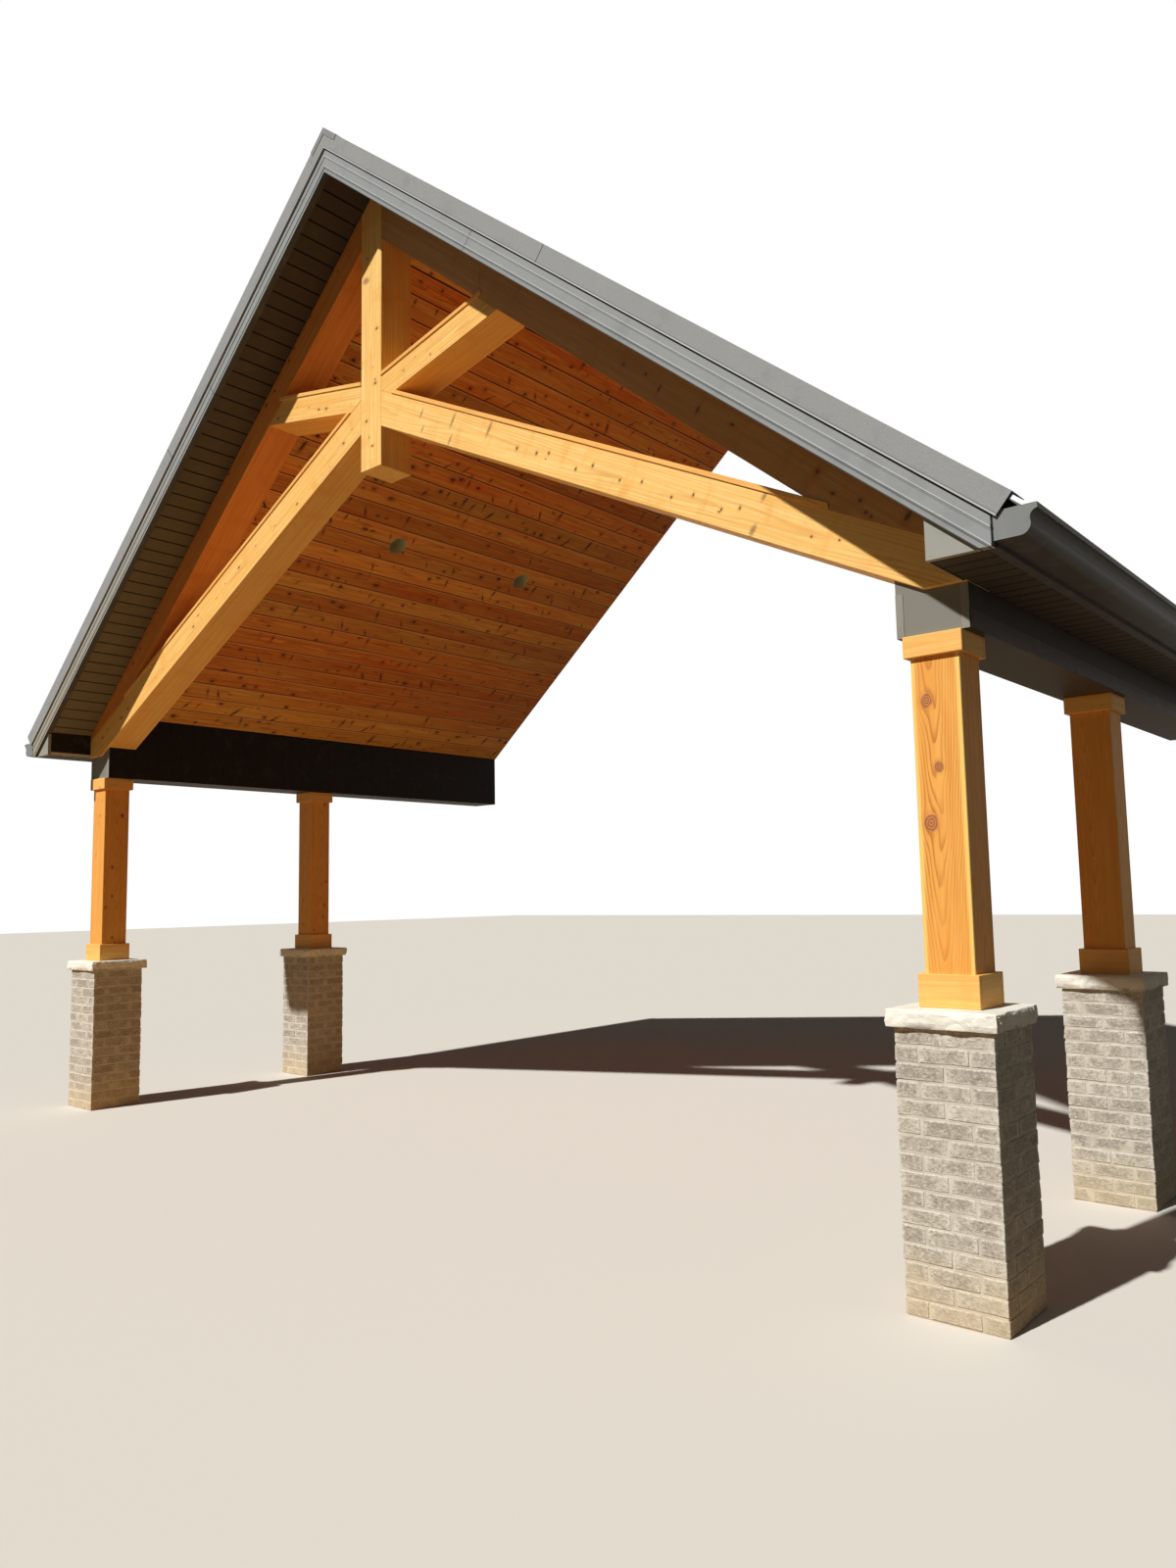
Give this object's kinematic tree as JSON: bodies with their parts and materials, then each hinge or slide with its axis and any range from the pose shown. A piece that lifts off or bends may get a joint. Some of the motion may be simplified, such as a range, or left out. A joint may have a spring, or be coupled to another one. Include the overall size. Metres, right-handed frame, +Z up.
{
  "type": "gabled porch canopy",
  "caption": "Gable porch canopy: cedar scissor truss and posts on stone-capped brick piers, clad side beams, vaulted board ceiling, metal roof with gutters.",
  "frame": {"origin": "on the ground, in the middle of the canopy's width and depth", "axes": "+X along the gable to the right as seen from the front, +Y back towards the house wall, +Z up"},
  "size_m": [8.269, 4.788, 6.3834],
  "materials": {
    "brick": "rough grey-brown brick with pale mortar joints, tan soil stain near the ground",
    "cap_stone": "split-faced pale limestone",
    "cedar_post": "oiled knotty cedar boards, satin",
    "cedar_trim": "oiled cedar trim, satin",
    "cedar_truss": "oiled knotty cedar boards, satin",
    "cedar_ceiling": "oiled knotty cedar tongue-and-groove boards, satin",
    "beam_cladding": "matt dark bronze sheet",
    "soffit_metal": "matt dark bronze soffit panel",
    "fascia_metal": "satin charcoal grey sheet",
    "rake_trim": "textured matt charcoal grey sheet",
    "roof_metal": "satin charcoal grey standing-seam sheet",
    "gutter_metal": "satin charcoal grey sheet",
    "light_can": "dull galvanised can",
    "framing_lumber": "sawn softwood",
    "deck_plywood": "plywood"
  },
  "bodies": {
    "root": {"beam_corner_strips_left": "beam_cladding", "beam_corner_strips_right": "beam_cladding", "bottom_chord_left": "cedar_truss", "bottom_chord_right": "cedar_truss", "boxed_eave_left": "soffit_metal", "boxed_eave_right": "soffit_metal", "cap_stone_front_left": "cap_stone", "cap_stone_front_right": "cap_stone", "cap_stone_side_left": "cap_stone", "cap_stone_side_right": "cap_stone", "ceiling_left": "cedar_ceiling", "ceiling_right": "cedar_ceiling", "eave_fascia_left": "fascia_metal", "eave_fascia_right": "fascia_metal", "gutter_left": "gutter_metal", "gutter_right": "gutter_metal", "king_post": "cedar_truss", "light_cans_left": "light_can", "light_cans_right": "light_can", "pier_front_left": "brick", "pier_front_right": "brick", "pier_side_left": "brick", "pier_side_right": "brick", "post_front_left": "cedar_post", "post_front_right": "cedar_post", "post_side_left": "cedar_post", "post_side_right": "cedar_post", "post_trim_front_left": "cedar_trim", "post_trim_front_right": "cedar_trim", "post_trim_side_left": "cedar_trim", "post_trim_side_right": "cedar_trim", "rake_fascia_left": "fascia_metal", "rake_fascia_right": "fascia_metal", "rake_soffit_left": "soffit_metal", "rake_soffit_right": "soffit_metal", "rake_trim_left": "rake_trim", "rake_trim_right": "rake_trim", "ridge_cap": "roof_metal", "roof_deck": "deck_plywood", "roof_framing": "framing_lumber", "roof_panels_left": "roof_metal", "roof_panels_right": "roof_metal", "side_beam_left": "beam_cladding", "side_beam_right": "beam_cladding", "strut_left": "cedar_truss", "strut_right": "cedar_truss", "truss_cap_boards_left": "cedar_trim", "truss_cap_boards_right": "cedar_trim", "truss_rafter_left": "cedar_truss", "truss_rafter_right": "cedar_truss"}
  },
  "joints": []
}
